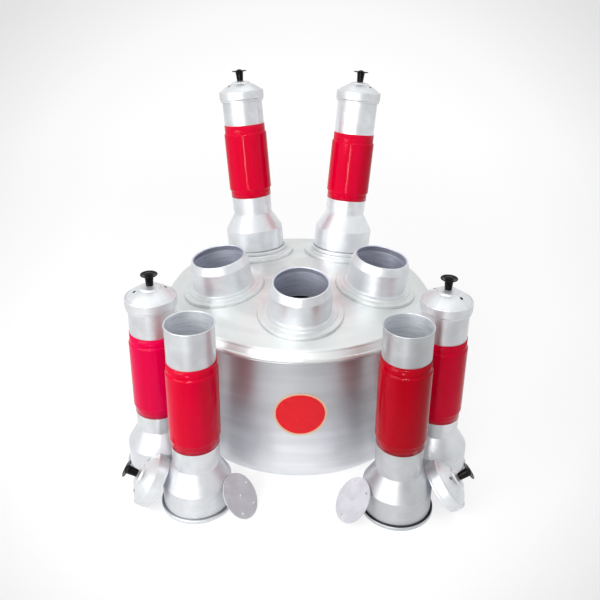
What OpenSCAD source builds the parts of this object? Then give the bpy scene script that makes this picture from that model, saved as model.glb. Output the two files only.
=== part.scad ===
// Steamer for puttu: a water pot, a domed steam deck with five spouts, and six
// steaming tubes with perforated discs and knobbed lids.
// The origin is the centre of the pot's base on the table. +Z is up, -Y is the front.

/* [Pot] */
// Outer diameter of the pot's wall
pot_d = 420; // [380:5:540]
// Height of the pot's rim above the table
pot_h = 218; // [150:1:300]
// Thickness of the pot's wall and base
pot_wall = 1.6; // [1.2:0.1:3]
// Outer radius of the corner between base and wall
pot_corner = 16; // [6:1:30]
// How far the rim flange stands out from the wall
pot_flange = 11.5; // [8:0.5:16]
// Diameter of the bead along the edge of the flange
pot_bead_d = 4; // [3:0.5:6]

/* [Steam deck] */
// Thickness of the deck sheet
deck_wall = 1.2; // [0.8:0.1:2]
// Diameter of the roll along the deck's edge
deck_roll_d = 6; // [4:0.5:8]
// How far the roll stands out past the pot's flange
deck_overhang = 2.5; // [1:0.5:6]
// Height of the sloping band between the roll and the shoulder
deck_band_h = 7.5; // [4:0.5:14]
// How far the band leans in from the middle of the roll
deck_band_in = 5; // [3:0.5:9]
// Radius of the deck's shoulder
deck_shoulder = 4; // [2:0.5:8]
// Tilt of each spout, and so the slope of the dome under it
spout_tilt = 8.6; // [5:0.1:11]
// How far the locating ring reaches down into the pot
locating_h = 9; // [5:0.5:16]
// Gap between the locating ring and the pot's inner wall
locating_gap = 0.8; // [0.3:0.1:2]

/* [Spouts] */
// Height of a spout's lip above the dome, along its axis
spout_h = 56; // [48:0.5:68]
// Thickness of a spout's wall
spout_wall = 1.2; // [0.8:0.1:2]
// Outer diameter of a spout's wall
spout_d = 96.8; // [80:0.2:104]
// Diameter of the rolled lip's section
spout_lip_d = 3.2; // [2:0.2:4]
// Height of the chamfer under the lip
chamfer_h = 11; // [6:0.5:16]
// How far the chamfer draws the lip in from the wall
chamfer_in = 4.6; // [2:0.1:8]
// Height of the seat that a tube stands on, above the dome
seat_h = 6.1; // [4:0.1:10]
// Width of the spout's foot, outside its wall
foot_w = 17.4; // [13:0.2:20]
// Height of the foot's outer ring above the dome
foot_ring_h = 3; // [2:0.1:5]
// Radius of the fillet between seat and wall
seat_fillet = 3; // [1:0.5:4]
// Gap between the foot and the deck's shoulder
foot_margin = 19.2; // [10:0.2:30]

/* [Tubes] */
// Outer diameter of a barrel
barrel_d = 69; // [60:0.5:84]
// Thickness of a barrel's wall
barrel_wall = 0.8; // [0.5:0.1:1.5]
// Bare length of the barrel above a middling sleeve
bare_top = 60; // [48:1:90]
// Bare length of the barrel below a middling sleeve
bare_low = 23; // [18:1:40]
// Diameter of the bead round a barrel's mouth
mouth_bead_d = 1.9; // [1.2:0.1:3]
// Thickness of a bell's wall
bell_wall = 1; // [0.6:0.1:2]
// Height of the bell's straight skirt
skirt_h = 42.3; // [36:0.1:52]
// Height of the bell's cone
cone_h = 27.7; // [20:0.1:40]
// Height of the bell's neck that shows under the barrel
neck_show = 7; // [4:0.5:12]
// Length of the bell's neck inside the barrel
neck_in = 6; // [4:0.5:12]
// Height of the bell's foot ring
ring_h = 6; // [4:0.5:10]
// How far the foot ring stands out from the skirt
ring_out = 3.7; // [2:0.1:6]
// Gap between a bell's skirt and the spout inside it
skirt_gap = 0.9; // [0.5:0.1:1.5]

/* [Grips] */
// Length of a grip sleeve
sleeve_len = 138; // [100:1:160]
// Thickness of the sleeve
sleeve_wall = 0.8; // [0.5:0.1:1.5]
// Thickness of the padding under the sleeve
core_t = 1.9; // [1:0.1:4]
// Height of the sleeve's upper collar
collar_top = 14; // [8:0.5:24]
// Height of the sleeve's lower collar
collar_low = 12; // [8:0.5:24]
// Height over which the sleeve widens from a collar to the padding
sleeve_step = 2.5; // [1:0.5:5]

/* [Lids] */
// Thickness of a lid's sheet
lid_wall = 1; // [0.6:0.1:1.5]
// Gap between a lid's mouth and the bead of the barrel
lid_gap = 0.4; // [0.2:0.1:1]
// Depth of a lid from its mouth to its seat on the barrel
lid_depth = 17.4; // [12:0.2:26]
// How far the lid's band stands out from its mouth
band_out = 1.3; // [0.6:0.1:3]
// Height of the straight part of the lid's mouth
lip_h = 2; // [1:0.5:5]
// Height of the slope from the mouth out to the band
lip_slope_h = 2.5; // [1:0.5:5]
// Height of the lid's dome above its shoulder
dome_h = 15; // [8:0.5:20]
// Diameter of the raised boss under the knob
boss_d = 34; // [26:1:44]
// Height of the boss
boss_h = 1.8; // [1:0.1:3]
// Diameter of a steam hole
vent_d = 3.6; // [2:0.1:5]
// Distance between the two steam holes
vent_span = 46; // [40:0.2:56]

/* [Knobs] */
// Diameter of the knob's brim
brim_d = 25.4; // [18:0.2:34]
// Thickness of the brim
brim_t = 1.6; // [1:0.1:3]
// How far the brim's edge turns up
brim_rise = 1.2; // [0:0.1:3]
// Height of the knob's stem
stem_h = 15; // [10:0.5:26]
// Diameter of the stem at its foot
stem_d = 10.6; // [8:0.2:14]
// Diameter of the stem under the brim
stem_top_d = 13; // [9:0.2:17]
// Height of the low crown on top
crown_h = 3.4; // [1:0.1:6]
// Diameter of the screw's shank
screw_d = 4; // [3:0.5:5]
// Length of the screw inside the knob
screw_in = 12; // [6:0.5:16]

/* [Discs] */
// Thickness of a perforated disc
disc_t = 1.2; // [0.8:0.1:2]
// Gap between a disc and the barrel's wall
disc_gap = 0.4; // [0.2:0.05:0.5]
// Diameter of a hole in the disc
disc_hole_d = 3.6; // [2:0.1:5]

/* [Layout] */
// Angle of the front left tube from the front of the pot
left_angle = 31.6; // [25:0.2:40]
// Angle of the front right tube from the front of the pot
right_angle = 28.6; // [25:0.2:40]
// Gap between the pot's wall and the foot of the front left tube
left_gap = 27; // [12:0.5:60]
// Gap between the pot's wall and the foot of the front right tube
right_gap = 33.5; // [12:0.5:60]
// Gap between the pot's wall and the foot of the rear floor tubes
side_gap = 7.5; // [5:0.5:20]
// Gap between the two left tubes' feet
left_pair_gap = 6.5; // [2:0.5:30]
// Gap between the two right tubes' feet
right_pair_gap = 10.5; // [2:0.5:30]
// Lean of the left lid, from its knob lying level
left_lid_lean = 33; // [32:0.5:50]
// Lean of the right lid, from its knob lying level
right_lid_lean = 38; // [32:0.5:50]
// Lean of the two loose discs, from standing upright
disc_lean = 42; // [35:0.5:60]
// Direction from the front left tube to its lid
left_lid_dir = 183; // [160:1:200]
// Direction from the front right tube to its lid
right_lid_dir = 0; // [-20:1:20]
// Direction from the front left tube to its disc
left_disc_dir = -20; // [-40:1:0]
// Direction from the front right tube to its disc
right_disc_dir = 196; // [180:1:220]

/* [Badge] */
// Width of the oval sticker
badge_w = 80; // [50:1:110]
// Height of the oval sticker
badge_h = 74; // [50:1:110]
// Height of the sticker's middle above the table
badge_z = 122; // [90:1:130]
// Thickness of the sticker
badge_t = 0.3; // [0.2:0.1:0.6]

/* [Hidden] */
TUBES = ["front_left", "front_right", "side_left", "side_right", "back_left", "back_right"];
PIECES = ["barrel", "bell", "sleeve", "core", "disc", "lid", "knob", "screw"];
SPOUTS = ["spout_front", "spout_right", "spout_back_right", "spout_back_left", "spout_left"];
$fn = 96;
// Straight steps in the outline of a small rounded corner
arc_steps = 6;

// How far a cutting tool runs past what it cuts
overrun = 2;
// Gap between two pieces that rest on each other
seat_gap = 0.1;
// Gap between two pieces of one tube that are pressed together
press_gap = 0.05;
// Gap between a leaning piece and the bell it leans on
lean_gap = 0.3;

// Rim of the pot and edge of the deck
pot_r = pot_d / 2;
rim_r = pot_r + pot_flange;
bead_r = pot_bead_d / 2;
roll_r = deck_roll_d / 2;
roll_x = rim_r + deck_overhang - roll_r;
roll_z = pot_h + seat_gap + roll_r;
shoulder_r = roll_x - deck_band_in;
shoulder_z = roll_z + roll_r + deck_band_h;

// Spouts, and the bell that stands over one of them
spout_r = spout_d / 2;
foot_r = spout_r + foot_w;
lip_r = spout_lip_d / 2;
lip_x = spout_r - chamfer_in - lip_r;
skirt_r = spout_r + skirt_gap + bell_wall;
ring_r = skirt_r + ring_out;
// The seat is as wide as the bell's foot ring, with room round it
seat_room = 3;
seat_r = ring_r + seat_room;
// Radius of a spout's flared root, which its foot is pushed over
root_r = spout_r + seat_fillet;
foot_bore_r = root_r + press_gap;
foot_top = seat_h + seat_fillet;
// Height of the step from the seat down to the foot's outer ring
foot_slope = 0.6;
// Radius of the rounded edges of the foot
foot_edge = 1.3;
// Angle between two neighbouring spouts, and the first one's direction
spout_pitch = 360 / len(SPOUTS);
spout_front_dir = -90;

// Dome of the deck: a sphere whose slope under each spout is the spout's tilt
spout_ring = shoulder_r - foot_margin - foot_r;
dome_r = spout_ring / sin(spout_tilt);
dome_z = shoulder_z - sqrt(pow(dome_r - deck_shoulder, 2) - pow(shoulder_r - deck_shoulder, 2));
// Angle from level at which the dome blends into the shoulder
blend_angle = acos((shoulder_r - deck_shoulder) / (dome_r - deck_shoulder));

// Tube: bell, barrel, disc and lid, measured up from the foot of the bell
barrel_r = barrel_d / 2;
bore_r = barrel_r - barrel_wall;
neck_r = bore_r - press_gap;
neck_z = skirt_h + cone_h;
barrel_z = neck_z + neck_show;
ledge_z = barrel_z + neck_in;
sleeve_z = barrel_z + bare_low;
tube_h = sleeve_z + sleeve_len + bare_top;
mouth_bead_r = mouth_bead_d / 2;
mouth_bead_x = bore_r + mouth_bead_r + press_gap;
disc_z = ledge_z + seat_gap;
disc_r = bore_r - disc_gap;
// Depth and height of the groove over the bell's foot ring
ring_groove_d = 0.6;
ring_groove_h = 1.2;
// Radius of the foot ring's rounded edges
ring_edge = 1.5;
// Bevel inside the foot, which clears the fillet between seat and spout
foot_bevel = seat_fillet - skirt_gap + lean_gap;

// Lid, measured up from its mouth
lid_mouth_r = mouth_bead_x + mouth_bead_r + lid_gap;
lid_lip_r = lid_mouth_r + lid_wall;
band_r = lid_lip_r + band_out;
band_top = lid_depth + lid_wall;
// Radius of the shoulder between band and dome
band_edge = 2.2;
// Depth and width of the crease round the foot of the dome
crease_d = 0.5;
crease_w = 0.6;
lid_dome_x = band_r - band_edge - crease_w;
lid_dome_z = band_top - crease_d;
lid_dome_r = (lid_dome_x * lid_dome_x + dome_h * dome_h) / (2 * dome_h);
lid_centre_z = lid_dome_z + dome_h - lid_dome_r;
boss_r = boss_d / 2;
// Width of the slope round the boss
boss_slope_w = 2;
// Width of the flat that the knob stands on, outside its stem
landing_w = 1.2;
landing_r = stem_d / 2 + landing_w;
landing_z = lid_z_at(landing_r, 0) + boss_h;

// Knob and screw
brim_r = brim_d / 2;
screw_r = screw_d / 2;
// Size of the screw's pan head
head_share = 1.9;
head_r = screw_r * head_share;
head_h = 2.4;

// Sleeves are cut by hand: their lengths, and how far they sit up their barrels, as
// shares of sleeve_len
cut_shares = [1, 1.03, 1, 1, 0.93, 0.86];
slip_shares = [0.036, 0.1, -0.007, -0.025, 0.007, -0.03];
collar_r = barrel_r + press_gap + sleeve_wall;
padding_r = barrel_r + press_gap + core_t;
sleeve_r = padding_r + press_gap + sleeve_wall;

// Holes of a disc: one in the middle, the others on a ring
disc_holes = 5;
disc_ring_share = 0.78;

// Barrels are cut by hand too: how much shorter each one is, as a share of tube_h
top_shares = [0, -0.015, 0.017, 0.017, 0.04, 0.04];

// Turn of each lid about its own axis, which sets where its steam holes are
lid_turns = [40, 40, 22, 135, 90, 84];
// Turn of each disc about its own axis
disc_turns = [25, 10, 0, 0, 0, 0];

// Where the tubes stand: four on the table, two on the back spouts
left_front_r = pot_r + left_gap + ring_r;
right_front_r = pot_r + right_gap + ring_r;
side_r = pot_r + side_gap + ring_r;
left_front_dir = spout_front_dir - left_angle;
right_front_dir = spout_front_dir + right_angle;
// Room that a leaning lid takes beside the bell behind it
lid_room = 15.6;
pair_reach = ring_r + max(ring_r, band_r + lid_room);
left_turn = chord_angle(left_front_r, side_r, pair_reach + left_pair_gap);
right_turn = chord_angle(right_front_r, side_r, pair_reach + right_pair_gap);
FLOOR_POLAR = [
    [left_front_r, left_front_dir],
    [right_front_r, right_front_dir],
    [side_r, left_front_dir - left_turn],
    [side_r, right_front_dir + right_turn]
];
// The spout under each of the two back tubes
BACK_SPOUTS = [3, 2];
floor_tubes = len(FLOOR_POLAR);
loose_pairs = 2;
LID_LEAN = [[left_lid_lean, left_lid_dir], [right_lid_lean, right_lid_dir]];
DISC_LEAN = [[disc_lean, left_disc_dir], [disc_lean, right_disc_dir]];

BRIGHT = [0.82, 0.83, 0.85];
SATIN = [0.74, 0.75, 0.77];
RED = [0.86, 0.02, 0.12];
BLACK = [0.05, 0.04, 0.05];
FOAM = [0.9, 0.88, 0.82];

// Angle at the origin between two points at distances a and b that lie c apart
function chord_angle(a, b, c) = acos((a * a + b * b - c * c) / (2 * a * b));

// Points along an arc about [x, y]
function arc(x, y, r, from, to) = [
    for (i = [0 : arc_steps])
    let (angle = from + (to - from) * i / arc_steps)
    [x + r * cos(angle), y + r * sin(angle)]
];

// Height of the mouth of a tube's barrel
function mouth_z(i) = (1 - top_shares[i]) * tube_h;

// Height of the lid's dome at a radius, below the surface by an inset
function lid_z_at(r, inset) = lid_centre_z + sqrt(pow(lid_dome_r - inset, 2) - r * r);

// Drop of the deck's dome at a radius from the axis of a spout
function dome_drop(r) = dome_r - sqrt(dome_r * dome_r - r * r);

// Radius of the bell's skirt, cone or neck at a height above its foot
function cone_r(z) =
    max(neck_r, min(skirt_r, skirt_r - (z - skirt_h) * (skirt_r - neck_r) / cone_h));

// Least distance at which a leaning circle's plane clears a bell's corner at [x, z]
function corner_reach(r, lean, x, z) =
    z > 2 * r * cos(lean) ? 0 : x + lean_gap / cos(lean) + z * tan(lean) - r * sin(lean);

// Distance from a bell's axis to the middle of a circle whose edge leans on the bell
function lean_reach(r, lean) = max(
    cone_r(2 * r * cos(lean)) + r * sin(lean) + lean_gap * norm([1, (skirt_r - neck_r) / cone_h]),
    corner_reach(r, lean, skirt_r, skirt_h),
    corner_reach(r, lean, neck_r, neck_z)
);

// Moves children onto the dome, square to it, in a direction from the middle
module on_dome(dir) {
    translate([0, 0, dome_z])
        rotate([0, spout_tilt, dir])
            translate([0, 0, dome_r])
                children();
}

// Moves children to the foot of a tube
module at_tube(i) {
    if (i < floor_tubes) {
        rotate([0, 0, FLOOR_POLAR[i][1]])
            translate([FLOOR_POLAR[i][0], 0, 0])
                rotate([0, 0, -FLOOR_POLAR[i][1]])
                    children();
    } else {
        on_dome(spout_front_dir + spout_pitch * BACK_SPOUTS[i - floor_tubes])
            translate([0, 0, seat_h + seat_gap])
                children();
    }
}

// Leans children, whose lowest edge has radius r, on the bell of a floor tube
module leaning(i, r, lean) {
    at_tube(i)
        rotate([0, 0, lean[1]])
            translate([lean_reach(r, lean[0]), 0, r * cos(lean[0])])
                rotate([0, 90 - lean[0], 0])
                    children();
}

// A quarter of a ring, as the outline of a rounded sheet corner
module corner_outline(r, t) {
    difference() {
        circle(r);
        circle(r - t);
        translate([-r - overrun, 0])
            square([2 * (r + overrun), r + overrun]);
        translate([-r - overrun, -r - overrun])
            square([r + overrun, 2 * (r + overrun)]);
    }
}

module pot() {
    color(SATIN)
    rotate_extrude() {
        square([pot_r - pot_corner, pot_wall]);
        translate([pot_r - pot_corner, pot_corner])
            corner_outline(pot_corner, pot_wall);
        translate([pot_r - pot_wall, pot_corner])
            square([pot_wall, pot_h - pot_corner]);
        translate([pot_r - pot_wall, pot_h - pot_wall])
            square([pot_flange + pot_wall - bead_r, pot_wall]);
        translate([rim_r - bead_r, pot_h - bead_r])
            circle(bead_r);
    }
}

// The deck's domed sheet, as an outline to turn about the middle
module dome_outline() {
    reach = 2 * dome_r;
    intersection() {
        translate([0, dome_z])
            difference() {
                circle(dome_r);
                circle(dome_r - deck_wall);
            }
        polygon([
            [0, dome_z],
            [reach * cos(blend_angle), dome_z + reach * sin(blend_angle)],
            [0, dome_z + reach]
        ]);
    }
}

// The deck's shoulder, sloping band and rolled edge
module deck_edge_outline() {
    shoulder_x = shoulder_r - deck_shoulder;
    // A point inside the dome's sheet, past the blend, where the two outlines overlap
    weld_r = dome_r - deck_wall / 2;
    weld_angle = blend_angle + atan(deck_wall / dome_r);
    polygon(concat(
        [[roll_x, roll_z + roll_r]],
        arc(shoulder_x, shoulder_z, deck_shoulder, 0, blend_angle),
        [[weld_r * cos(weld_angle), dome_z + weld_r * sin(weld_angle)]],
        arc(shoulder_x, shoulder_z, deck_shoulder - deck_wall, blend_angle, 0),
        [[roll_x - deck_wall, roll_z + roll_r - deck_wall]]
    ));
    translate([roll_x, roll_z])
        circle(roll_r);
}

module steam_deck() {
    color(BRIGHT)
    difference() {
        rotate_extrude() {
            dome_outline();
            deck_edge_outline();
        }
        for (k = [0 : len(SPOUTS) - 1])
            on_dome(spout_front_dir + spout_pitch * k)
                translate([0, 0, -deck_wall - overrun])
                    cylinder(r = spout_r - spout_wall, h = deck_wall + 2 * overrun);
    }
}

// A ring under the deck that centres it in the pot's mouth
module locating_ring() {
    outer_r = pot_r - pot_wall - locating_gap;
    top_z = dome_z + sqrt(pow(dome_r - deck_wall, 2) - outer_r * outer_r) - seat_gap;
    low_z = pot_h - locating_h;
    color(SATIN)
    translate([0, 0, low_z])
        difference() {
            cylinder(r = outer_r, h = top_z - low_z);
            translate([0, 0, -overrun])
                cylinder(r = outer_r - deck_wall, h = top_z - low_z + 2 * overrun);
        }
}

// A plain oval sticker on the front of the pot
module badge() {
    half_w = badge_w / 2;
    half_h = badge_h / 2;
    color(RED)
    intersection() {
        difference() {
            cylinder(r = pot_r + press_gap + badge_t, h = pot_h);
            translate([0, 0, -overrun])
                cylinder(r = pot_r + press_gap, h = pot_h + 2 * overrun);
        }
        translate([0, 0, badge_z])
            rotate([90, 0, 0])
                linear_extrude(rim_r)
                    union() {
                        for (side = [-1, 1])
                            translate([side * (half_w - half_h), 0])
                                circle(half_h);
                        translate([half_h - half_w, -half_h])
                            square([badge_w - badge_h, badge_h]);
                    }
    }
}

// A spout: a flared root that stands on the dome, a straight wall and a rolled mouth
module spout(k) {
    bore = spout_r - spout_wall;
    rim_z = spout_h - lip_r;
    chamfer_z = rim_z - chamfer_h;
    color(BRIGHT)
    on_dome(spout_front_dir + spout_pitch * k)
        rotate_extrude() {
            polygon(concat(
                [[bore, seat_gap - dome_drop(bore)], [root_r, seat_gap - dome_drop(root_r)]],
                arc(root_r, foot_top, seat_fillet, 270, 180),
                [[spout_r, chamfer_z], [lip_x + lip_r, rim_z], [lip_x, rim_z], [bore, chamfer_z]]
            ));
            translate([lip_x, rim_z])
                circle(lip_r);
        }
}

// The spouts' stepped feet on the dome, one round each spout, with the seats for tubes
module spout_feet() {
    inner = foot_bore_r;
    step_z = foot_ring_h + foot_slope;
    color(SATIN)
    for (k = [0 : len(SPOUTS) - 1])
        on_dome(spout_front_dir + spout_pitch * k)
            rotate_extrude()
                polygon(concat(
                    [[inner, seat_gap - dome_drop(inner)], [foot_r, seat_gap - dome_drop(foot_r)]],
                    arc(foot_r - foot_edge, foot_ring_h - foot_edge, foot_edge, 0, 90),
                    [[seat_r + foot_slope, step_z]],
                    arc(seat_r - foot_edge, seat_h - foot_edge, foot_edge, 0, 90),
                    [[inner, seat_h]]
                ));
}

// The straight barrel that holds the dish, with a bead round its mouth
module barrel(i) {
    bead_z = mouth_z(i) - mouth_bead_r;
    color(BRIGHT)
    at_tube(i)
        rotate_extrude() {
            translate([bore_r, barrel_z])
                square([barrel_wall, bead_z - barrel_z]);
            translate([mouth_bead_x, bead_z])
                circle(mouth_bead_r);
        }
}

// The bell under the barrel: foot ring, skirt, cone, and a neck that holds the barrel
module bell(i) {
    groove_z = ring_h + ring_groove_h;
    bore = skirt_r - bell_wall;
    neck_bore = neck_r - bell_wall;
    color(SATIN)
    at_tube(i)
        rotate_extrude()
            polygon(concat(
                [[bore, foot_bevel], [bore + foot_bevel, 0]],
                arc(ring_r - ring_edge, ring_edge, ring_edge, 270, 360),
                arc(ring_r - ring_edge, ring_h - ring_edge, ring_edge, 0, 90),
                [
                    [skirt_r - ring_groove_d, ring_h],
                    [skirt_r - ring_groove_d, groove_z],
                    [skirt_r, groove_z],
                    [skirt_r, skirt_h],
                    [neck_r, neck_z],
                    [neck_r, ledge_z],
                    [neck_bore, ledge_z],
                    [neck_bore, neck_z],
                    [bore, skirt_h]
                ]
            ));
}

// The outline of a grip's outside, drawn in or out by an inset
module grip_outline(low, high, inner, outer, t) {
    polygon([
        [inner, low],
        [inner + t, low],
        [inner + t, low + collar_low],
        [outer + t, low + collar_low + sleeve_step],
        [outer + t, high - collar_top - sleeve_step],
        [inner + t, high - collar_top],
        [inner + t, high],
        [inner, high],
        [inner, high - collar_top],
        [outer, high - collar_top - sleeve_step],
        [outer, low + collar_low + sleeve_step],
        [inner, low + collar_low]
    ]);
}

// The glossy sleeve that a hand holds
module sleeve(i) {
    low = sleeve_z + slip_shares[i] * sleeve_len;
    high = low + cut_shares[i] * sleeve_len;
    color(RED)
    at_tube(i)
        rotate_extrude()
            grip_outline(low, high, collar_r - sleeve_wall, sleeve_r - sleeve_wall, sleeve_wall);
}

// The padding between barrel and sleeve
module core(i) {
    low = sleeve_z + slip_shares[i] * sleeve_len + collar_low;
    high = low + cut_shares[i] * sleeve_len - collar_low - collar_top;
    inner = barrel_r + press_gap;
    color(FOAM)
    at_tube(i)
        rotate_extrude()
            polygon([
                [inner, low + sleeve_step],
                [padding_r, low + sleeve_step],
                [padding_r, high - sleeve_step],
                [inner, high - sleeve_step]
            ]);
}

// Puts children where the disc of a tube is: on its ledge, or leaning on the bell
module at_disc(i) {
    if (i < loose_pairs)
        leaning(i, disc_r, DISC_LEAN[i])
            children();
    else
        at_tube(i)
            translate([0, 0, disc_z])
                children();
}

// A perforated disc that the dish stands on in the barrel
module disc(i) {
    color(SATIN)
    at_disc(i)
        rotate([0, 0, disc_turns[i]])
            difference() {
                cylinder(r = disc_r, h = disc_t);
                translate([0, 0, -overrun])
                    cylinder(d = disc_hole_d, h = disc_t + 2 * overrun);
                for (k = [0 : disc_holes - 1])
                    rotate([0, 0, 360 * k / disc_holes])
                        translate([disc_ring_share * disc_r, 0, -overrun])
                            cylinder(d = disc_hole_d, h = disc_t + 2 * overrun);
            }
}

// Puts children where the lid of a tube is: on its mouth, or leaning on the bell
module at_lid(i) {
    if (i < loose_pairs)
        leaning(i, lid_lip_r, LID_LEAN[i])
            rotate([0, 0, lid_turns[i]])
                children();
    else
        at_tube(i)
            translate([0, 0, mouth_z(i) + seat_gap - lid_depth])
                rotate([0, 0, lid_turns[i]])
                    children();
}

// A pressed lid: necked mouth, band, shoulder, dome with two steam holes, and a boss
module lid(i) {
    slope_top = lip_h + lip_slope_h;
    band_in = band_r - lid_wall;
    edge_z = band_top - band_edge;
    boss_in = boss_r - boss_slope_w;
    // The dome's inside ends clear of the barrel's bead
    dome_in = lid_dome_x - 2 * lid_wall;
    color(BRIGHT)
    at_lid(i)
        difference() {
            rotate_extrude()
                polygon(concat(
                    [[lid_mouth_r, 0], [lid_lip_r, 0], [lid_lip_r, lip_h], [band_r, slope_top]],
                    arc(band_r - band_edge, edge_z, band_edge, 0, 90),
                    dome_points(lid_dome_x, boss_r, 0, 0),
                    dome_points(boss_in, landing_r, 0, boss_h),
                    [[0, landing_z], [0, landing_z - lid_wall]],
                    dome_points(landing_r, boss_in, lid_wall, boss_h),
                    dome_points(boss_r, dome_in, lid_wall, 0),
                    [
                        [dome_in, lid_depth],
                        [band_in - band_edge / 2, lid_depth],
                        [band_in, edge_z],
                        [band_in, slope_top],
                        [lid_mouth_r, lip_h]
                    ]
                ));
            cylinder(r = screw_r + press_gap, h = landing_z + overrun);
            for (side = [-1, 1])
                translate([side * vent_span / 2, 0, lid_depth])
                    cylinder(d = vent_d, h = dome_h + overrun);
        }
}

// Points along the lid's dome between two radii, under it by an inset and raised
function dome_points(from, to, inset, raise) = [
    for (i = [0 : arc_steps])
    let (r = from + (to - from) * i / arc_steps)
    [r, lid_z_at(r, inset) + raise]
];

// A turned knob: a tapering stem, a thin turned-up brim and a low crown
module knob(i) {
    brim_z = stem_h;
    edge_z = brim_z + brim_rise;
    crown_r = stem_top_d / 2;
    top_z = brim_z + brim_t + crown_h;
    // The crown is a cap of a ball as wide as the top of the stem
    crown_ball_r = (crown_r * crown_r + crown_h * crown_h) / (2 * crown_h);
    half_t = brim_t / 2;
    color(BLACK)
    at_lid(i)
        translate([0, 0, landing_z + press_gap])
            difference() {
                rotate_extrude()
                    polygon(concat(
                        [[0, 0], [stem_d / 2, 0], [crown_r, brim_z - half_t]],
                        [[crown_r + half_t, brim_z]],
                        arc(brim_r - half_t, edge_z + half_t, half_t, -90, 90),
                        [[crown_r + half_t, brim_z + brim_t]],
                        [
                            for (k = [arc_steps : -1 : 0])
                            let (r = crown_r * k / arc_steps)
                            [r, top_z - crown_ball_r + sqrt(crown_ball_r * crown_ball_r - r * r)]
                        ]
                    ));
                translate([0, 0, -overrun])
                    cylinder(r = screw_r + press_gap, h = screw_in + screw_r + overrun);
            }
}

// The pan-head screw that holds the knob from inside the lid
module screw(i) {
    head_z = landing_z - lid_wall - press_gap;
    color(SATIN)
    at_lid(i) {
        translate([0, 0, head_z - head_h])
            cylinder(r = head_r, h = head_h);
        translate([0, 0, head_z - head_h])
            cylinder(r = screw_r, h = head_h + lid_wall + press_gap + screw_in);
    }
}

pot();
steam_deck();
locating_ring();
badge();
spout_feet();
for (k = [0 : len(SPOUTS) - 1]) {
    spout(k);
}
for (i = [0 : len(TUBES) - 1]) {
    barrel(i);
    bell(i);
    sleeve(i);
    core(i);
    disc(i);
    lid(i);
    knob(i);
    screw(i);
}
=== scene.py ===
"""Looks of the puttu steamer: materials, sleeves, camera, light and floor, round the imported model."""

import math

import bpy
from mathutils import Matrix, Vector

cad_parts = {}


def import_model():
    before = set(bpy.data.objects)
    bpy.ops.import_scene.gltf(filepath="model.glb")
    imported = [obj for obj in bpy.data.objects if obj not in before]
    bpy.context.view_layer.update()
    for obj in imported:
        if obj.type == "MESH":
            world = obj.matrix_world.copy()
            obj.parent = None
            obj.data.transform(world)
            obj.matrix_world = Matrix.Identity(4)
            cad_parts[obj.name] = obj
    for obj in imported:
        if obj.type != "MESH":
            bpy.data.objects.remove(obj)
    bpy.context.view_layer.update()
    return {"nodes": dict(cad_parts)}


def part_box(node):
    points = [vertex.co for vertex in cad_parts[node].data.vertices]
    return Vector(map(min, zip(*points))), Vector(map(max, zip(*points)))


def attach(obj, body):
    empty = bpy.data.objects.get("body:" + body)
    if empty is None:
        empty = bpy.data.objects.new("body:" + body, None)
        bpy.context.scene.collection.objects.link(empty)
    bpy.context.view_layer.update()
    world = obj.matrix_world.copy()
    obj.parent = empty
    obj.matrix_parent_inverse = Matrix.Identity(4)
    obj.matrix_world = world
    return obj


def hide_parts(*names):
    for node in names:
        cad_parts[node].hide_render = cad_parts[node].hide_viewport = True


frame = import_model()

NODES = frame["nodes"]

# Sizes and places of the pieces, as in part.scad, in metres
SPOUT_RING = 0.131
SHOULDER_X = 0.212
SHOULDER_Z = 0.2316
SHOULDER_EDGE = 0.004
TILT = math.radians(8.6)
# The deck's dome is a sphere whose slope under each spout is the spout's tilt
DOME_R = SPOUT_RING / math.sin(TILT)
DOME_Z = SHOULDER_Z - math.sqrt((DOME_R - SHOULDER_EDGE) ** 2 - SHOULDER_X**2)
# Height of the seat that a tube stands on, with the gap under the tube
SEAT_H = 0.0062
# Direction of each spout from the middle of the deck, in degrees
SPOUTS = {
    "spout_front": -90,
    "spout_right": -18,
    "spout_back_right": 54,
    "spout_back_left": 126,
    "spout_left": 198,
}
FLOOR_TUBES = {
    "front_left": (-0.15249, -0.24788),
    "front_right": (0.14244, -0.26124),
    "side_left": (-0.22170, -0.15670),
    "side_right": (0.21414, -0.16693),
}
BACK_TUBES = {"back_left": "spout_back_left", "back_right": "spout_back_right"}
TUBES = [*FLOOR_TUBES, *BACK_TUBES]

# Groove over a bell's foot ring: its lower and upper end, measured up from the bell's foot
GROOVE_LOW = 0.0058
GROOVE_HIGH = 0.0074

# Loose lids: reach and height of the mouth's centre, lean and direction in degrees
LOOSE_LIDS = {"front_left": (0.0589, 0.03107, 33, 183), "front_right": (0.0638, 0.0292, 38, 0)}
# Direction of each lid's steam holes, in degrees
LID_TURNS = {
    "front_left": 40,
    "front_right": 40,
    "side_left": 22,
    "side_right": 135,
    "back_left": 90,
    "back_right": 84,
}
VENT_REACH = 0.023
VENT_R = 0.0018

# Sleeves: where they sit and how long they are cut, as shares of SLEEVE_LEN
SLEEVE_Z = 0.100
SLEEVE_LEN = 0.138
SLIP_SHARES = {
    "front_left": 0.036,
    "front_right": 0.1,
    "side_left": -0.007,
    "side_right": -0.025,
    "back_left": 0.007,
    "back_right": -0.03,
}
CUT_SHARES = {
    "front_left": 1,
    "front_right": 1.03,
    "side_left": 1,
    "side_right": 1,
    "back_left": 0.93,
    "back_right": 0.86,
}
BARREL_R = 0.0345
PRESS_GAP = 0.00005
PADDING_T = 0.0019
SLEEVE_T = 0.0008
COLLAR_TOP = 0.014
COLLAR_LOW = 0.012
STEP_H = 0.0025
# Rounding of the sleeve's steps, how far its cut ends wander, and the turn in radians from one sleeve's
# wander to the next one's
STEP_ROUND = 0.0012
CUT_WANDER = 0.0008
CUT_PHASE = 2.1

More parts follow.
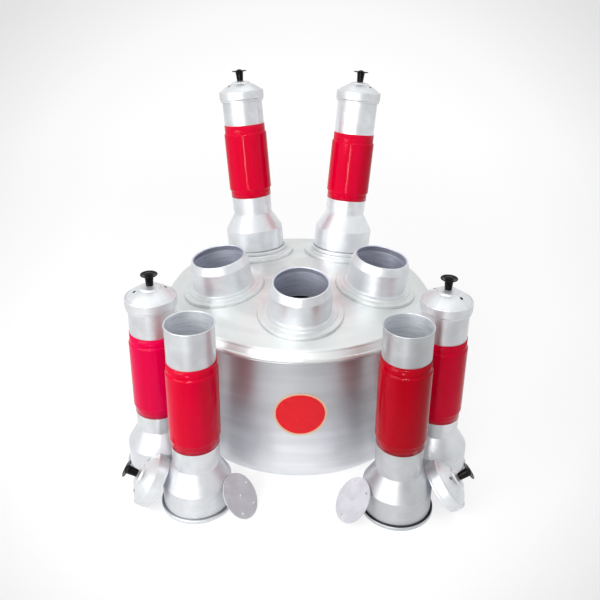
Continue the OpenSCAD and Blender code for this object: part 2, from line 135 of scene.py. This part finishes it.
# Sticker: half its width and height, the height of its middle, and the share of its reach at which the
# border starts
BADGE_HALF_W = 0.040
BADGE_HALF_H = 0.037
BADGE_Z = 0.122
BORDER_START = 0.93


def on_dome(direction, lift=0.0):
    """The frame of something that stands square on the dome, in a direction from its middle."""
    turn = Matrix.Rotation(math.radians(direction), 4, "Z")
    tilt = Matrix.Rotation(TILT, 4, "Y")
    return Matrix.Translation((0, 0, DOME_Z)) @ turn @ tilt @ Matrix.Translation((0, 0, DOME_R + lift))


def at_tube(tube):
    """The frame of a tube: its origin is the middle of the bell's foot, and Z runs up its axis."""
    if tube in FLOOR_TUBES:
        return Matrix.Translation((*FLOOR_TUBES[tube], 0))
    return on_dome(SPOUTS[BACK_TUBES[tube]], SEAT_H)


def leaning(tube, reach, height, lean, direction):
    """The frame of a lid that leans on a tube's bell."""
    return (
        at_tube(tube)
        @ Matrix.Rotation(math.radians(direction), 4, "Z")
        @ Matrix.Translation((reach, 0, height))
        @ Matrix.Rotation(math.radians(90 - lean), 4, "Y")
    )


def at_lid(tube):
    """A frame on the axis of a tube's lid."""
    return leaning(tube, *LOOSE_LIDS[tube]) if tube in LOOSE_LIDS else at_tube(tube)


def node_middle(name):
    """A frame at the middle of a node's box."""
    low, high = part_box(name)
    return Matrix.Translation((low + high) / 2)


def shaded(colour, share):
    """A colour made darker or lighter."""
    return tuple(min(1.0, share * c) for c in colour)


class Graph:
    """A node tree, with short calls for its nodes."""

    def __init__(self, tree):
        self.tree = tree

    def feed(self, socket, value):
        """Links an output to a socket, or sets the socket to a number or colour."""
        if isinstance(value, bpy.types.NodeSocket):
            self.tree.links.new(value, socket)
        else:
            socket.default_value = value

    def add(self, kind, inputs=(), output=0, **settings):
        node = self.tree.nodes.new(kind)
        for key, value in settings.items():
            setattr(node, key, value)
        for key, value in dict(inputs).items():
            self.feed(node.inputs[key], value)
        return node.outputs[output]

    def math(self, operation, a, b=0.0, clamp=False):
        return self.add("ShaderNodeMath", {0: a, 1: b}, operation=operation, use_clamp=clamp)

    def vector(self, operation, a, b=(0, 0, 0), output="Vector"):
        return self.add("ShaderNodeVectorMath", {0: a, 1: b}, output, operation=operation)

    def join(self, x, y, z):
        return self.add("ShaderNodeCombineXYZ", {0: x, 1: y, 2: z})

    def split(self, vector):
        node = self.tree.nodes.new("ShaderNodeSeparateXYZ")
        self.feed(node.inputs[0], vector)
        return node.outputs

    def length(self, vector):
        return self.vector("LENGTH", vector, output="Value")

    def dot(self, a, b):
        return self.vector("DOT_PRODUCT", a, b, output="Value")

    def noise(self, vector, scale=1.0, detail=3.0, roughness=0.5):
        inputs = {"Vector": vector, "Scale": scale, "Detail": detail, "Roughness": roughness}
        return self.add("ShaderNodeTexNoise", inputs)

    def span(self, value, low, high, to_low=0.0, to_high=1.0):
        """Carries a value from one range to another, smoothly, and keeps it there."""
        inputs = {0: value, 1: low, 2: high, 3: to_low, 4: to_high}
        return self.add("ShaderNodeMapRange", inputs, interpolation_type="SMOOTHSTEP")

    def blend(self, share, a, b):
        """Blends two numbers. Sockets 2 and 3 of a Mix node hold numbers."""
        return self.add("ShaderNodeMix", {0: share, 2: a, 3: b}, data_type="FLOAT")

    def mix(self, share, a, b, way="MIX"):
        """Mixes two colours. Sockets 6 and 7 of a Mix node hold colours, and so does its output 2."""
        first = a if isinstance(a, bpy.types.NodeSocket) else (*a, 1)
        second = b if isinstance(b, bpy.types.NodeSocket) else (*b, 1)
        return self.add("ShaderNodeMix", {0: share, 6: first, 7: second}, 2, data_type="RGBA", blend_type=way)

    def bump(self, height, strength, distance, normal=None):
        inputs = {"Height": height, "Strength": strength, "Distance": distance}
        if normal is not None:
            inputs["Normal"] = normal
        return self.add("ShaderNodeBump", inputs)

    def rounded(self, radius):
        """A normal that rounds sharp edges."""
        return self.add("ShaderNodeBevel", {"Radius": radius}, samples=4)

    def seen(self):
        """One for camera, glossy and transmission rays, and zero for the rest."""
        path = self.tree.nodes.new("ShaderNodeLightPath")
        total = path.outputs["Is Camera Ray"]
        for ray in ("Is Glossy Ray", "Is Transmission Ray"):
            total = self.math("ADD", total, path.outputs[ray], clamp=True)
        return total


# A face whose outward share is less than this is on the inside of a turned piece
INWARDS = -0.2
# Marks round the axis follow the radius, and this share of the height as well, for upright walls
MARK_RISE = 1.3


class Surface(Graph):
    """A material that knows the piece's own coordinates: x, y, z, radius and the direction round the axis."""

    def __init__(self, name, place, fold=False):
        self.material = bpy.data.materials.new(name)
        self.material.use_nodes = True
        super().__init__(self.material.node_tree)
        self.shader = self.tree.nodes["Principled BSDF"]
        point = self.add("ShaderNodeTexCoord", output="Object")
        if fold:
            point = self.folded(point)
        inputs = {"Vector": point, "Location": place.translation, "Rotation": place.to_euler()}
        self.local = self.add("ShaderNodeMapping", inputs, vector_type="TEXTURE")
        self.x, self.y, self.z = self.split(self.local)
        flat = self.join(self.x, self.y, 0.0)
        self.radius = self.length(flat)
        self.around = self.vector("NORMALIZE", flat)
        axis = place.to_3x3() @ Vector((0, 0, 1))
        from_axis = self.vector("SUBTRACT", point, place.translation)
        self.tangent = self.vector("NORMALIZE", self.vector("CROSS_PRODUCT", axis, from_axis))
        outwards = self.vector("CROSS_PRODUCT", self.tangent, axis)
        facing = self.dot(self.add("ShaderNodeNewGeometry", output="True Normal"), outwards)
        self.inside = self.math("LESS_THAN", facing, INWARDS)

    def folded(self, point):
        """Carries a point near any of the five spouts to the same point near the front spout."""
        x, y, z = self.split(point)
        reach = self.length(self.join(x, y, 0.0))
        angle = self.math("ADD", self.math("ARCTAN2", y, x), math.pi / 2)
        step = 2 * math.pi / len(SPOUTS)
        turns = self.math("ROUND", self.math("DIVIDE", angle, step))
        angle = self.math("SUBTRACT", angle, self.math("MULTIPLY", turns, step))
        east = self.math("MULTIPLY", reach, self.math("SINE", angle))
        north = self.math("MULTIPLY", reach, self.math("COSINE", angle))
        return self.join(east, self.math("MULTIPLY", north, -1.0), z)

    def spun(self, along, across):
        """Coordinates for marks that run round the axis: long one way, fine the other."""
        height = self.math("MULTIPLY", self.z, MARK_RISE)
        profile = self.math("MULTIPLY", self.math("ADD", self.radius, height), across)
        round_x, round_y, _ = self.split(
            self.add("ShaderNodeVectorMath", {0: self.around, "Scale": along}, operation="SCALE")
        )
        return self.join(round_x, round_y, profile)

    def set(self, **inputs):
        """Feeds the shader's sockets, which are named with underscores for spaces."""
        for key, value in inputs.items():
            self.feed(self.shader.inputs[key.replace("_", " ")], value)


def dress(node, material):
    """Gives a CAD node its material."""
    slots = NODES[node].data.materials
    slots.clear()
    slots.append(material)


# Aluminium: outside colours; insides, with painted light in the spouts, barrels, bells and lids and painted
# shade in the pot; dark specks; and painted shade in creases, grooves and steam holes
PALE = (0.81, 0.835, 0.835)
COOL = (0.81, 0.83, 0.87)
BRIGHT = (0.79, 0.81, 0.835)
PRESSED = (0.80, 0.82, 0.84)
WALL = (0.79, 0.815, 0.84)
LIT_INSIDE = (0.84, 0.87, 1.0)
LIT_BORE = (0.93, 0.955, 1.0)
SHADED_POT_INSIDE = (0.16, 0.16, 0.17)
SPECK = (0.30, 0.30, 0.33)
CREASE_SHADE = (0.22, 0.22, 0.24)
GROOVE_SHADE = (0.03, 0.03, 0.035)
VENT_SHADE = (0.01, 0.01, 0.012)
# Shades of a piece's colour: in its darker and paler bands, where it is worn, and in streaks inside
DARK_BAND = 0.93
PALE_BAND = 1.02
WORN = 0.72
STREAKED = 0.78
# How metallic the aluminium is: a little less than bare metal, as it is dull with use
METAL_SHARE = 0.8
# The inside is at least this rough
INSIDE_ROUGH = 0.5
# Painted shade in creases: how far round a point is searched for them, how open it is where the shade is
# darkest and where it ends, and how strong it is
CREASE_SHADE_REACH = 0.005
CREASE_SHADE_OPEN = (0.3, 0.85)
CREASE_SHADE_SHARE = 0.75
# The painted shade round a steam hole fades between these distances past its edge
VENT_SHADE_FADE = (0.0008, 0.0003)
# Painted shade: the pot's wall is darker upwards: two heights, and the share of its tone that is left
POT_UPWARD_SHADE = (0.02, 0.15, 0.66)

# Painted light and shade: how bright each tube's metal is, as a share of BRIGHT, darker where less light
# falls on it and lighter where more does
TUBE_LIGHT_AND_SHADE = {
    "front_left": 0.93,
    "front_right": 0.73,
    "side_left": 0.95,
    "side_right": 0.95,
    "back_left": 1.0,
    "back_right": 1.12,
}
# How dark the painted shade in the groove over each bell's foot ring is
GROOVE_SHADE_SHARES = {**dict.fromkeys(TUBES, 0.12), "front_right": 1.0}

# Finishes: grain is the strength of the turning marks, stain that of worn patches, anisotropy the stretch of
# highlights round the axis, deep the colour of the inside, which is painted light, but painted shade in the
# pot, and edge the radius of rounded edges
POT = dict(colour=COOL, roughness=0.40, grain=0.4, stain=0.15, anisotropy=0.5, deep=SHADED_POT_INSIDE, edge=0.0008)
DECK = dict(colour=PALE, roughness=0.45, grain=0.4, stain=0.15, anisotropy=0.2, edge=0.001)
RING = dict(colour=COOL, roughness=0.36, grain=0.5, stain=0.2, anisotropy=0.3, edge=0.0005)
FEET = dict(colour=PALE, roughness=0.42, grain=0.5, stain=0.2, anisotropy=0.0, edge=0.0008)
SPOUT = dict(colour=WALL, roughness=0.40, grain=0.4, stain=0.25, anisotropy=0.4, deep=LIT_INSIDE, edge=0.0007)
BARREL = dict(roughness=0.40, grain=0.25, stain=0.35, anisotropy=0.4, deep=LIT_BORE, edge=0.0004)
BELL = dict(roughness=0.42, grain=0.4, stain=0.3, anisotropy=0.4, deep=LIT_INSIDE, edge=0.0008)
LID = dict(colour=PRESSED, roughness=0.44, grain=0.4, stain=0.3, anisotropy=0.2, deep=LIT_INSIDE, edge=0.0008)
SCREW = dict(colour=BRIGHT, roughness=0.2, grain=0.3, stain=0.1, anisotropy=0.0, edge=0.0003)


def darkened_upwards(surface, tone, low, high, share):
    """Paints shade upwards: darkens a tone to a share of it."""
    level = surface.span(surface.z, low, high, 1.0, share)
    return surface.mix(1.0, tone, surface.join(level, level, level), "MULTIPLY")


def shade_in_groove(surface, tone, share):
    """Paints shade into the groove over a bell's foot ring."""
    above = surface.math("GREATER_THAN", surface.z, GROOVE_LOW)
    below = surface.math("LESS_THAN", surface.z, GROOVE_HIGH)
    groove = surface.math("MULTIPLY", surface.math("MULTIPLY", above, below), share)
    return surface.mix(groove, tone, GROOVE_SHADE)


def shade_round_vents(surface, tone, direction):
    """Paints shade round the edges of a lid's two steam holes."""
    turn = math.radians(direction)
    along = surface.dot(surface.local, (math.cos(turn), math.sin(turn), 0))
    aside = surface.dot(surface.local, (-math.sin(turn), math.cos(turn), 0))
    along = surface.math("SUBTRACT", surface.math("ABSOLUTE", along), VENT_REACH)
    off = surface.length(surface.join(along, aside, 0.0))
    pale, dark = (VENT_R + reach for reach in VENT_SHADE_FADE)
    return surface.mix(surface.span(off, pale, dark), tone, VENT_SHADE)


def metal(
    name, place, colour, roughness, grain, stain, anisotropy, edge, deep=None,
    fold=False, groove=0.0, upward_shade=None, vents=None, neighbour_shade=False,
):
    """Satin aluminium, turned round the axis of its place, with painted shade in its creases. Groove paints
    shade into the groove over its foot, fade paints shade on it upwards, vents is the direction of two steam
    holes with painted shade round them, and seams also paints shade where others meet it."""
    surface = Surface(name, place, fold)
    fine = surface.noise(surface.spun(along=2.5, across=520.0), detail=5.0, roughness=0.65)
    broad = surface.noise(surface.spun(along=1.6, across=45.0), detail=2.0)
    patches = surface.noise(surface.local, scale=26.0, detail=4.0, roughness=0.6)
    haze = surface.noise(surface.local, scale=7.0, detail=2.0)
    specks = surface.span(surface.noise(surface.local, scale=150.0, detail=2.0), 0.69, 0.78)
    bands = surface.span(broad, 0.35, 0.65)
    tone = surface.mix(bands, shaded(colour, DARK_BAND), shaded(colour, PALE_BAND))
    wear = surface.span(patches, 0.48, 0.78, 0.0, stain)
    tone = surface.mix(wear, tone, shaded(colour, WORN))
    tone = surface.mix(surface.math("MULTIPLY", specks, 0.6 * stain), tone, SPECK)
    rough = surface.span(fine, 0.25, 0.75, roughness - 0.07 * grain, roughness + 0.10 * grain)
    rough = surface.math("ADD", rough, surface.span(haze, 0.35, 0.65, -0.03, 0.05))
    # Painted light and shade inside: the inside takes the deep colour, lighter and bluer than the outside as
    # painted light, but dark in the pot as painted shade; its streaks are the metal's own marks
    if deep is not None:
        streaks = surface.noise(surface.spun(along=1.2, across=200.0), detail=4.0, roughness=0.7)
        depth = surface.mix(surface.span(streaks, 0.3, 0.7), shaded(deep, STREAKED), deep)
        tone = surface.mix(surface.inside, tone, depth)
        rough = surface.math("MAXIMUM", rough, surface.math("MULTIPLY", surface.inside, INSIDE_ROUGH))
    if upward_shade:
        tone = darkened_upwards(surface, tone, *upward_shade)
    if groove:
        tone = shade_in_groove(surface, tone, groove)
    if vents is not None:
        tone = shade_round_vents(surface, tone, vents)
    # Painted shade: darker where ambient occlusion finds a crease, and with seams also where other pieces
    # come near
    space = surface.add(
        "ShaderNodeAmbientOcclusion", {"Distance": CREASE_SHADE_REACH}, "AO", samples=8, only_local=not neighbour_shade
    )
    tone = surface.mix(surface.span(space, *CREASE_SHADE_OPEN, CREASE_SHADE_SHARE, 0.0), tone, CREASE_SHADE)
    normal = surface.bump(fine, 0.2 * grain, 0.0004, surface.rounded(edge))
    normal = surface.bump(patches, 0.05, 0.001, normal)
    surface.set(Base_Color=tone, Metallic=METAL_SHARE, Roughness=rough, Normal=normal)
    if anisotropy:
        surface.set(Tangent=surface.tangent, Anisotropic=anisotropy, Anisotropic_Rotation=0.25)
    return surface.material


dress("pot", metal("pot_satin", Matrix(), **POT, upward_shade=POT_UPWARD_SHADE))
# The deck gets painted shade where other pieces come near it
dress("steam_deck", metal("deck_satin", Matrix(), **DECK, neighbour_shade=True))
dress("locating_ring", metal("ring_satin", Matrix(), **RING))
dress("spout_feet", metal("feet_satin", on_dome(SPOUTS["spout_front"]), **FEET, fold=True))
for spout, direction in SPOUTS.items():
    dress(spout, metal(spout + "_satin", on_dome(direction), **SPOUT))
for tube in TUBES:
    place = at_tube(tube)
    lid_place = at_lid(tube)
    # Painted light and shade: the tube's metal made darker or lighter by its share
    tone = tuple(TUBE_LIGHT_AND_SHADE[tube] * c for c in BRIGHT)
    dress(tube + "_barrel", metal(tube + "_barrel_satin", place, tone, **BARREL))
    dress(tube + "_bell", metal(tube + "_bell_satin", place, tone, **BELL, groove=GROOVE_SHADE_SHARES[tube]))
    dress(tube + "_lid", metal(tube + "_lid_satin", lid_place, **LID, vents=LID_TURNS[tube]))
    dress(tube + "_screw", metal(tube + "_screw_steel", lid_place, **SCREW))


def knob_plastic():
    """Glossy black moulded plastic, a little worn."""
    surface = Surface("knob_plastic", Matrix())
    swirl = surface.noise(surface.local, scale=220.0)
    wear = surface.span(surface.noise(surface.local, scale=60.0, detail=4.0, roughness=0.6), 0.5, 0.75)
    surface.set(
        Base_Color=surface.mix(wear, (0.003, 0.0025, 0.003), (0.007, 0.006, 0.007)),
        Roughness=surface.span(swirl, 0.3, 0.7, 0.12, 0.26),
        Specular_IOR_Level=0.14,
        Normal=surface.bump(swirl, 0.08, 0.0004, surface.rounded(0.0004)),
    )
    return surface.material


KNOB = knob_plastic()
for tube in TUBES:
    dress(tube + "_knob", KNOB)


def disc_sheet(tube):
    """Matt punched sheet, with fine marks one way."""
    surface = Surface(tube + "_disc_sheet", node_middle(tube + "_disc"))
    marks = surface.noise(surface.vector("MULTIPLY", surface.local, (90.0, 90.0, 700.0)), detail=4.0)
    cloud = surface.noise(surface.local, scale=60.0)
    surface.set(
        Base_Color=surface.mix(surface.span(cloud, 0.35, 0.7), (0.64, 0.66, 0.71), (0.72, 0.74, 0.79)),
        Metallic=0.15,
        Roughness=surface.span(marks, 0.3, 0.7, 0.42, 0.55),
        Normal=surface.bump(marks, 0.12, 0.0004),
    )
    return surface.material


for tube in TUBES:
    dress(tube + "_disc", disc_sheet(tube))


def padding():
    """Pale foam, which the sleeves cover."""
    surface = Surface("padding_foam", Matrix())
    cells = surface.noise(surface.local, scale=900.0, detail=2.0)
    surface.set(
        Base_Color=surface.mix(cells, (0.72, 0.69, 0.60), (0.86, 0.84, 0.78)),
        Roughness=0.9,
        Normal=surface.bump(cells, 0.5, 0.0006),
    )
    return surface.material


FOAM = padding()
for tube in TUBES:
    dress(tube + "_core", FOAM)


def sticker():
    """Glossy red film with a thin pale border, and nothing drawn on it."""
    surface = Surface("sticker_film", Matrix.Translation((0, 0, BADGE_Z)))
    across = surface.math("DIVIDE", surface.x, BADGE_HALF_W)
    upwards = surface.math("DIVIDE", surface.z, BADGE_HALF_H)
    reach = surface.length(surface.join(across, upwards, 0.0))
    border = surface.math("GREATER_THAN", reach, BORDER_START)
    cloud = surface.noise(surface.local, scale=40.0, detail=2.0)
    red = surface.mix(cloud, (0.80, 0.012, 0.022), (0.88, 0.018, 0.030))
    surface.set(
        Base_Color=surface.mix(border, red, (0.80, 0.55, 0.36)),
        Roughness=surface.span(cloud, 0.3, 0.7, 0.22, 0.30),
        Specular_IOR_Level=0.2,
        Normal=surface.bump(cloud, 0.01, 0.0003),
    )
    return surface.material


dress("badge", sticker())

# Sleeves: red and blue in the film's darker and paler waves, and where hands have smudged it
FILM_DARK = (0.72, 0.024)
FILM_PALE = (0.80, 0.038)
FILM_SMUDGED = (0.72, 0.048)
# Painted light and shade: how deep each sleeve's red is, darker where less light falls on it, and how much
# blue there is in it, more under a painted sheen
SLEEVE_LIGHT_AND_SHADE = {
    "front_left": (0.94, 1.0),
    "front_right": (0.60, 0.55),
    "side_left": (1.0, 2.0),
    "side_right": (0.92, 1.0),
    "back_left": (1.0, 1.0),
    "back_right": (1.0, 1.0),
}


def sleeve_film(tube, place):
    """Glossy red film: long soft waves down it, fine marks round it, and smudges from hands."""
    # Painted light and shade: depth darkens a shaded sleeve's red, and blueness makes a sleeve bluer under a
    # painted sheen and less blue in painted shade
    depth, blueness = SLEEVE_LIGHT_AND_SHADE[tube]

    def red(level, blue):
        return (level * depth, 0.0, blue * blueness * depth)

    surface = Surface(tube + "_sleeve_film", place)
    waves = surface.noise(surface.vector("MULTIPLY", surface.local, (60.0, 60.0, 5.0)), detail=2.0)
    smudge = surface.noise(surface.local, scale=45.0, detail=4.0, roughness=0.6)
    scuff = surface.noise(surface.spun(along=3.0, across=700.0))
    tone = surface.mix(surface.span(waves, 0.3, 0.7), red(*FILM_DARK), red(*FILM_PALE))
    surface.set(
        Base_Color=surface.mix(surface.span(smudge, 0.5, 0.8, 0.0, 0.3), tone, red(*FILM_SMUDGED)),
        Roughness=surface.span(smudge, 0.35, 0.75, 0.06, 0.14),
        Specular_IOR_Level=0.09,
        Normal=surface.bump(scuff, 0.02, 0.0003, surface.bump(waves, 0.25, 0.0012)),
    )
    return surface.material


LATHE_STEPS = 160
ROUND_STEPS = 5


def lathe(name, place, points, shape):
    """A mesh turned from a closed outline of (radius, height) about the Z of its place, each point shaped."""
    count = len(points)
    verts = []
    faces = []
    for k in range(LATHE_STEPS):
        angle = 2 * math.pi * k / LATHE_STEPS
        for r, z in points:
            r, z = shape(angle, r, z)
            verts.append(place @ Vector((r * math.cos(angle), r * math.sin(angle), z)))
        following = (k + 1) % LATHE_STEPS
        for i in range(count):
            j = (i + 1) % count
            faces.append((k * count + i, following * count + i, following * count + j, k * count + j))
    mesh = bpy.data.meshes.new(name)
    mesh.from_pydata(verts, [], faces)
    mesh.validate()
    mesh.polygons.foreach_set("use_smooth", [True] * len(mesh.polygons))
    piece = bpy.data.objects.new(name, mesh)
    bpy.context.scene.collection.objects.link(piece)
    return piece


def rounded_path(corners, radius):
    """Points along a path whose inner corners are rounded by Bezier curves."""
    path = [corners[0]]
    for before, corner, after in zip(corners, corners[1:], corners[2:]):
        a, b, c = Vector(before), Vector(corner), Vector(after)
        start = b + (a - b).normalized() * radius
        end = b + (c - b).normalized() * radius
        for i in range(ROUND_STEPS + 1):
            t = i / ROUND_STEPS
            path.append(tuple(start * (1 - t) ** 2 + b * 2 * t * (1 - t) + end * t**2))
    path.append(corners[-1])
    return path


def stepped_side(collar, body, low, high):
    """One side of a sleeve, from its low end to its high one."""
    return [
        (collar, low),
        (collar, low + COLLAR_LOW),
        (body, low + COLLAR_LOW + STEP_H),
        (body, high - COLLAR_TOP - STEP_H),
        (collar, high - COLLAR_TOP),
        (collar, high),
    ]


def sleeve(tube):
    """The sleeve: collars that grip the barrel, and a body over the padding, all with soft steps."""
    place = at_tube(tube)
    low = SLEEVE_Z + SLIP_SHARES[tube] * SLEEVE_LEN
    high = low + CUT_SHARES[tube] * SLEEVE_LEN
    collar = BARREL_R + PRESS_GAP
    body = collar + PADDING_T
    outer = rounded_path(stepped_side(collar + SLEEVE_T, body + SLEEVE_T, low, high), STEP_ROUND)
    inner = rounded_path(stepped_side(collar, body, low, high)[::-1], STEP_ROUND)
    phase = CUT_PHASE * TUBES.index(tube)

    def uneven(angle, r, z):
        """Draws the cut ends in a little, as a sleeve cut by hand."""
        wave = 0.5 + 0.3 * math.sin(angle + phase) + 0.2 * math.sin(3 * angle + 2 * phase)
        if z == low:
            z += CUT_WANDER * wave
        if z == high:
            z -= CUT_WANDER * (1 - wave)
        return r, z

    piece = lathe(tube + "_grip", place, outer + inner, uneven)
    piece.data.materials.append(sleeve_film(tube, place))
    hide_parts(tube + "_sleeve")
    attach(piece, tube + "_tube")


for tube in TUBES:
    sleeve(tube)

# The photograph's camera, from the fit of its ellipses to the CAD: place in metres, angles in radians, and
# focal length, centre and width in pixels
EYE = Vector((-0.019688, -1.075309, 0.753472))
YAW, PITCH, ROLL = 0.01704, -0.37486, 0.01089
FOCAL, CENTRE_U, CENTRE_V, WIDTH = 693.827, 299.103, 233.372, 600
AHEAD = Vector((math.sin(YAW) * math.cos(PITCH), math.cos(YAW) * math.cos(PITCH), math.sin(PITCH)))
LEVEL = Vector((math.cos(YAW), -math.sin(YAW), 0))
STEEP = LEVEL.cross(AHEAD)
X_AXIS = LEVEL * math.cos(ROLL) + STEEP * math.sin(ROLL)
Y_AXIS = STEEP * math.cos(ROLL) - LEVEL * math.sin(ROLL)


def camera():
    data = bpy.data.cameras.new("photo_camera")
    data.sensor_width = 36
    data.lens = FOCAL * data.sensor_width / WIDTH
    data.shift_x = (WIDTH / 2 - CENTRE_U) / WIDTH
    data.shift_y = (CENTRE_V - WIDTH / 2) / WIDTH
    data.clip_start = 0.01
    view = bpy.data.objects.new("photo_camera", data)
    rows = Matrix((X_AXIS, Y_AXIS, -AHEAD)).transposed().to_4x4()
    view.matrix_world = Matrix.Translation(EYE) @ rows
    bpy.context.scene.collection.objects.link(view)
    bpy.context.scene.camera = view


camera()

# Each lamp's place and target, its width and height, and its power in watts
LAMPS = {
    "key_left": ((-1.15, -1.05, 1.0), (-0.05, -0.1, 0.25), (0.9, 0.9), 13),
    "top_softbox": ((0.2, 0.3, 2.6), (0, 0, 0.2), (2.4, 2.4), 8),
    "strip_back": ((-0.60, -2.35, 0.42), (0, 0.2, 0.42), (0.14, 0.76), 9),
    "strip_low": ((-0.36, -2.35, 0.42), (0, 0.2, 0.42), (0.05, 0.76), 1.6),
    "strip_front": ((-0.35, -1.75, 1.40), (-0.1, -0.2, 0.25), (1.3, 0.06), 7),
}


def lamp(name, place, target, size, power):
    data = bpy.data.lights.new(name, "AREA")
    data.shape = "RECTANGLE"
    data.size, data.size_y = size
    data.energy = power
    light = bpy.data.objects.new(name, data)
    light.location = place
    light.rotation_euler = (Vector(target) - Vector(place)).to_track_quat("-Z", "Y").to_euler()
    bpy.context.scene.collection.objects.link(light)


for name, settings in LAMPS.items():
    lamp(name, *settings)


# The studio's level by how far forwards and how far up a ray goes: two reaches, and the levels at each
FORWARD_LEVELS = (-0.95, -0.3, 0.72, 1.0)
UPWARD_LEVELS = (0.0, 0.5, 1.0, 0.88)
# The studio's level as a light
STUDIO_LIGHT = 0.52


def world():
    """A pale studio: white to the camera and in reflections, dimmer overhead and behind the photographer."""
    made = bpy.data.worlds.new("studio")
    bpy.context.scene.world = made
    made.use_nodes = True
    sky = Graph(made.node_tree)
    _, y, z = sky.split(sky.add("ShaderNodeTexCoord", output="Generated"))
    level = sky.math("MULTIPLY", sky.span(y, *FORWARD_LEVELS), sky.span(z, *UPWARD_LEVELS))
    back = sky.tree.nodes["Background"]
    sky.feed(back.inputs["Color"], (1, 1, 1, 1))
    sky.feed(back.inputs["Strength"], sky.blend(sky.seen(), STUDIO_LIGHT, level))


world()

FLOOR_HALF = 40.0
# The floor's level by the cosine of its angle from the middle of the photograph: darker in the corners
CORNER_STOPS = [(0.70, 0.74), (0.853, 0.76), (0.891, 0.87), (0.913, 0.94), (0.95, 1.0)]
PAPER = (0.35, 0.35, 0.35)
PAPER_TOOTH = (0.37, 0.37, 0.37)
FAR_PAPER = (0.02, 0.02, 0.02)
BLACK = (0.0, 0.0, 0.0)
# Where the paper starts to turn into its far colour, and where it has turned
PAPER_TURN = (0.6, 2.4)
# Glow of the near paper, and how much more the far paper has
GLOW = 0.72
FAR_GLOW = 0.28
# A grey patch before the frame: where its near, far and side edges start and end, and how grey it is
PATCH_NEAR = (-0.46, -0.72)
PATCH_FAR = (-1.25, -0.90)
PATCH_SIDE = (1.4, 0.8)
PATCH_SHARE = 0.5


def corner_level(surface):
    """How bright the floor is, by where it lies in the photograph's frame."""
    middle = AHEAD * FOCAL + X_AXIS * (WIDTH / 2 - CENTRE_U) + Y_AXIS * (CENTRE_V - WIDTH / 2)
    ray = surface.vector("NORMALIZE", surface.vector("SUBTRACT", surface.local, EYE))
    ramp = surface.tree.nodes.new("ShaderNodeValToRGB")
    stops = ramp.color_ramp.elements
    for position, level in CORNER_STOPS:
        stops.new(position).color = (level, level, level, 1)
    stops.remove(stops[-1])
    stops.remove(stops[0])
    surface.feed(ramp.inputs[0], surface.dot(ray, middle.normalized()))
    return ramp.outputs[0]


def patch_share(surface):
    """How grey the floor is on the patch, which the upright walls mirror."""
    near = surface.span(surface.y, *PATCH_NEAR)
    far = surface.span(surface.y, *PATCH_FAR)
    side = surface.span(surface.math("ABSOLUTE", surface.x), *PATCH_SIDE)
    patch = surface.math("MULTIPLY", surface.math("MULTIPLY", near, far), side)
    return surface.math("MULTIPLY", patch, PATCH_SHARE)


def floor():
    """A wide pale floor, white round the object."""
    half = FLOOR_HALF
    mesh = bpy.data.meshes.new("floor")
    corners = [(-half, -half, 0), (half, -half, 0), (half, half, 0), (-half, half, 0)]
    mesh.from_pydata(corners, [], [(0, 1, 2, 3)])
    sheet = bpy.data.objects.new("floor", mesh)
    bpy.context.scene.collection.objects.link(sheet)
    surface = Surface("floor_paper", Matrix())
    level = surface.mix(patch_share(surface), corner_level(surface), BLACK)
    tooth = surface.noise(surface.local, scale=300.0, detail=2.0)
    away = surface.span(surface.radius, *PAPER_TURN)
    paper = surface.mix(away, surface.mix(tooth, PAPER, PAPER_TOOTH), FAR_PAPER)
    glow = surface.math("ADD", surface.math("MULTIPLY", away, FAR_GLOW), GLOW)
    surface.set(
        Base_Color=surface.mix(1.0, paper, level, "MULTIPLY"),
        Roughness=0.9,
        Specular_IOR_Level=0.0,
        Emission_Color=level,
        Emission_Strength=surface.math("MULTIPLY", surface.seen(), glow),
        Normal=surface.bump(tooth, 0.02, 0.0005),
    )
    mesh.materials.append(surface.material)


floor()

bpy.context.scene.view_settings.view_transform = "Standard"
